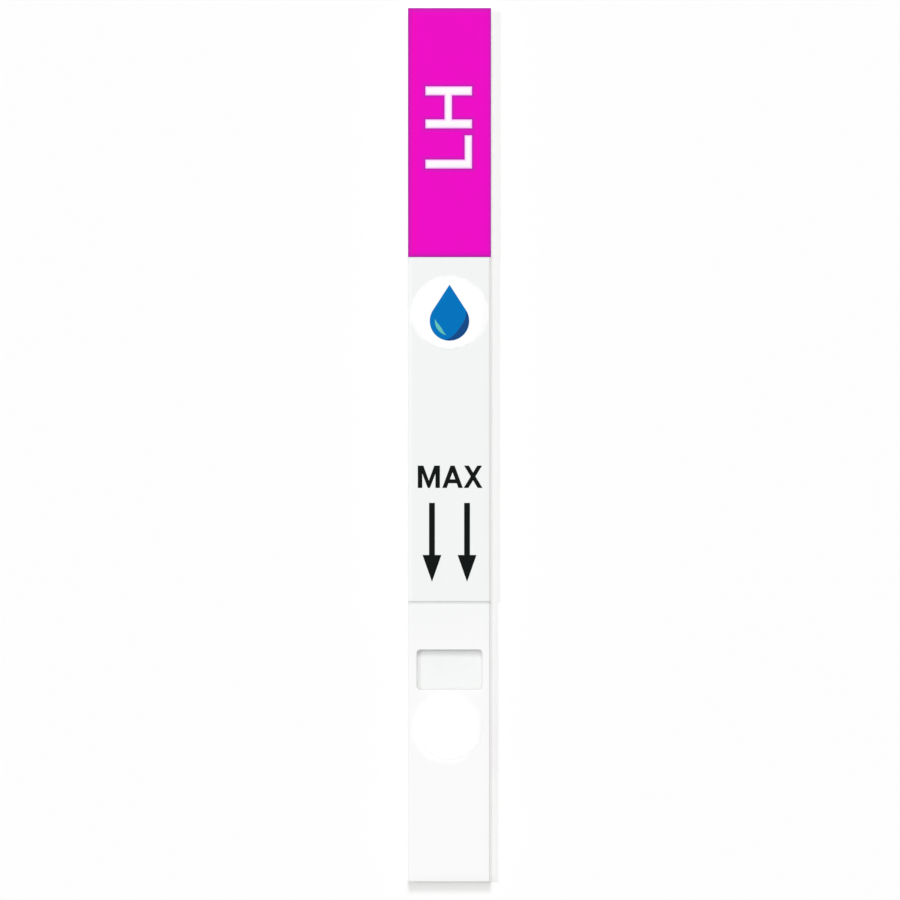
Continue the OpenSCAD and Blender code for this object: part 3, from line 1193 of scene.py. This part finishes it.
def from_letters(x, y):
    """How far a point is outside the nearest stroke, which is less than 0 inside it."""
    nearest = None
    for rise, low_y, height, width in strokes:
        outside_x = (x - (BASELINE_X - rise - height / 2)).math("ABSOLUTE") - height / 2
        outside_y = (y - (low_y + width / 2)).math("ABSOLUTE") - width / 2
        outside = outside_x.math("MAXIMUM", outside_y)
        nearest = outside if nearest is None else nearest.math("MINIMUM", outside)
    return nearest


# %% [markdown]
# The tape is a thin film that was laid over the label before the strip was slit, so its upper edges are
# rolled. Its face lies one ink's height under the top of its box, which the letters fill. The dark rim
# could be painted on an image, but a mask made from distances has no pixels and follows the letters. The
# rim is narrower at the right side and round the letters, so the distances from those count for more.

# %% Lay the handle tape
TAPE_ROLL = 0.055 * MM
TAPE_INK = 0.008 * MM
RIM = 0.55 * MM
DARK_RIM = RIM * 0.3
LEFT_BAND = RIM * 2
RIGHT_FACTOR = 1.6
LETTER_FACTOR = 1.35

tape_finish, start = new_material("handle_tape_finish")
where, x, y, _ = place(start)
inset_side = (x - tape_low.x).math("MINIMUM", (tape_high.x - x) * RIGHT_FACTOR)
inset_end = (y - tape_low.y).math("MINIMUM", tape_high.y - y)
inset = inset_side.math("MINIMUM", inset_end).math("MINIMUM", from_letters(x, y) * LETTER_FACTOR)
inner_rim = 1 - ramp(inset, 0.0, RIM)
outer_rim = 1 - step_up(inset, 0.0, DARK_RIM)
left_band = 1 - step_up(x - tape_low.x, RIM, LEFT_BAND)
mottle = cloud(where, 1.8 * MM, detail=4.0)
tooth = cloud(where, 0.05 * MM, detail=3.0)
magenta = blend_colours(mottle, seen(235, 9, 195), seen(240, 5, 201))
magenta = blend_colours(left_band * 0.6, magenta, seen(246, 4, 188))
colour = blend_colours(inner_rim, magenta, seen(198, 28, 180))
colour = blend_colours(outer_rim * 0.6, colour, seen(150, 34, 148))
height = mottle * 0.5 + tooth * 0.5
gloss = 0.32 + tooth * 0.1
finish(start, colour, roughness=gloss, height=height, depth=0.003 * MM, Specular_IOR_Level=0.05)

tape_face = tape_high - Vector((0, 0, TAPE_INK))
bm = box(tape_low, tape_face)
roll_edges(bm, edges_where(bm, lambda co: near(co.z, tape_face.z)), TAPE_ROLL)
slice_sheet(bm, tape_low, tape_high)
add_piece("handle_tape_film", bm, tape_finish, "handle_tape", "handle_tape")

# %% [markdown]
# The letters are raised and rolled like all other print, but in a thinner white ink, through which the
# magenta shimmers at their rims. So the ink's pink comes from the same distances as the tape's dark rim.

# %% Print LH on the handle
PINK_INSIDE = RIM * 0.45
PINK_OUTSIDE = RIM * 0.1


def pink_rim(x, y):
    """The magenta shimmers through the white ink at the rim of a letter."""
    return step_up(from_letters(x, y), -PINK_INSIDE, PINK_OUTSIDE), seen(255, 170, 252)


letter_white = ink_finish(
    "letter_white", seen(254, 250, 254), seen(255, 252, 255), roughness=0.4, rim=pink_rim
)
for name, letter in zip("lh", word):
    placed = [[(BASELINE_X - py, word_y + px) for px, py in outline] for outline in letter]
    bm = printed(placed, tape_face.z, thickness=TAPE_INK, roll=TAPE_INK / 2)
    add_piece(f"handle_letter_{name}", bm, letter_white, "white_ink")

# %% [markdown]
# ## White spots and the drop
#
# Two white spots are printed across the strip, one below the handle and one below the window. Each is a
# thin disc with the same finish as the sheet under it, which is white there already, so its rim melts into
# the sheet. From above the sheet's own white would do, and the disc adds the ink's slight height and its
# sheen.

# %% Print the white spots
SPOT_ROUGHNESS = 0.38
SPOT_SIDES = 96
SPOT_ROLL = INK * 0.9


def print_spot(node, base, colours, lighter):
    """A printed disc in the finish of the sheet under it, which stands for a loaded disc."""
    low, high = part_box(node)
    centre, radius = (low + high) / 2, (high.x - low.x) / 2
    outline = arc(centre.x, centre.y, radius, 0, 360, SPOT_SIDES + 1)[:-1]
    bm = printed([outline], low.z, high.z - low.z, roll=SPOT_ROLL)
    spot_finish = white_film(f"{node}_finish", base, colours, lighter, SPOT_ROUGHNESS)
    add_piece(f"{node}_print", bm, spot_finish, "white_ink", node)


print_spot("label_spot", label_low.z, LABEL_COLOURS, lighter_label)
print_spot("card_spot", card_low.z, CARD_COLOURS, lighter_card)

# %% [markdown]
# The upper spot carries a plain drop, the common sign for a liquid sample: a round foot with two straight
# sides that meet in a point. Two crescents make it look round, a pale glint at its left and a dark shade at
# its right. A crescent is an arc whose width swells from nothing and shrinks back, by half a turn of a
# sine. A curve with handles could draw these shapes, but arcs follow from the loaded drop's box.

# %% Print the drop
DROP_POINTS = 60

blue_ink = ink_finish("blue_ink", seen(0, 120, 194), seen(0, 110, 184), roughness=0.4)
navy_ink = ink_finish("navy_ink", seen(22, 78, 140), seen(18, 68, 126), roughness=0.4)
teal_ink = ink_finish("teal_ink", seen(106, 200, 190), seen(96, 190, 180), roughness=0.4)

drop_low, drop_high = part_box("sample_drop")
foot_radius = (drop_high.x - drop_low.x) / 2
foot_y = drop_low.y + foot_radius
lean = math.degrees(math.asin(foot_radius / (drop_high.y - foot_y)))
drop = arc(0, foot_y, foot_radius, lean, -180 - lean, DROP_POINTS) + [(0, drop_high.y)]
bm = printed([drop], drop_low.z)
add_piece("sample_drop_print", bm, blue_ink, "blue_ink", "sample_drop")


def crescent(radius, width, start, end, count=24):
    """A crescent in the drop's foot, from one angle to another in degrees."""
    outline = arc(0, foot_y, radius, start, end, count)
    for i in range(1, count - 1):
        share = i / (count - 1)
        turn = math.radians(end + (start - end) * share)
        inner = radius - width * math.sin(math.pi * share)
        outline.append((inner * math.cos(turn), foot_y + inner * math.sin(turn)))
    return outline


for name, ink, radius, width, start_angle, end_angle in (
    ("glint", teal_ink, 0.74, 0.20, 172, 258),
    ("shade", navy_ink, 0.98, 0.36, -104, 32),
):
    outline = crescent(foot_radius * radius, foot_radius * width, start_angle, end_angle)
    bm = printed([outline], drop_high.z, thickness=INK / 2)
    add_piece(f"sample_drop_{name}", bm, ink, "blue_ink")
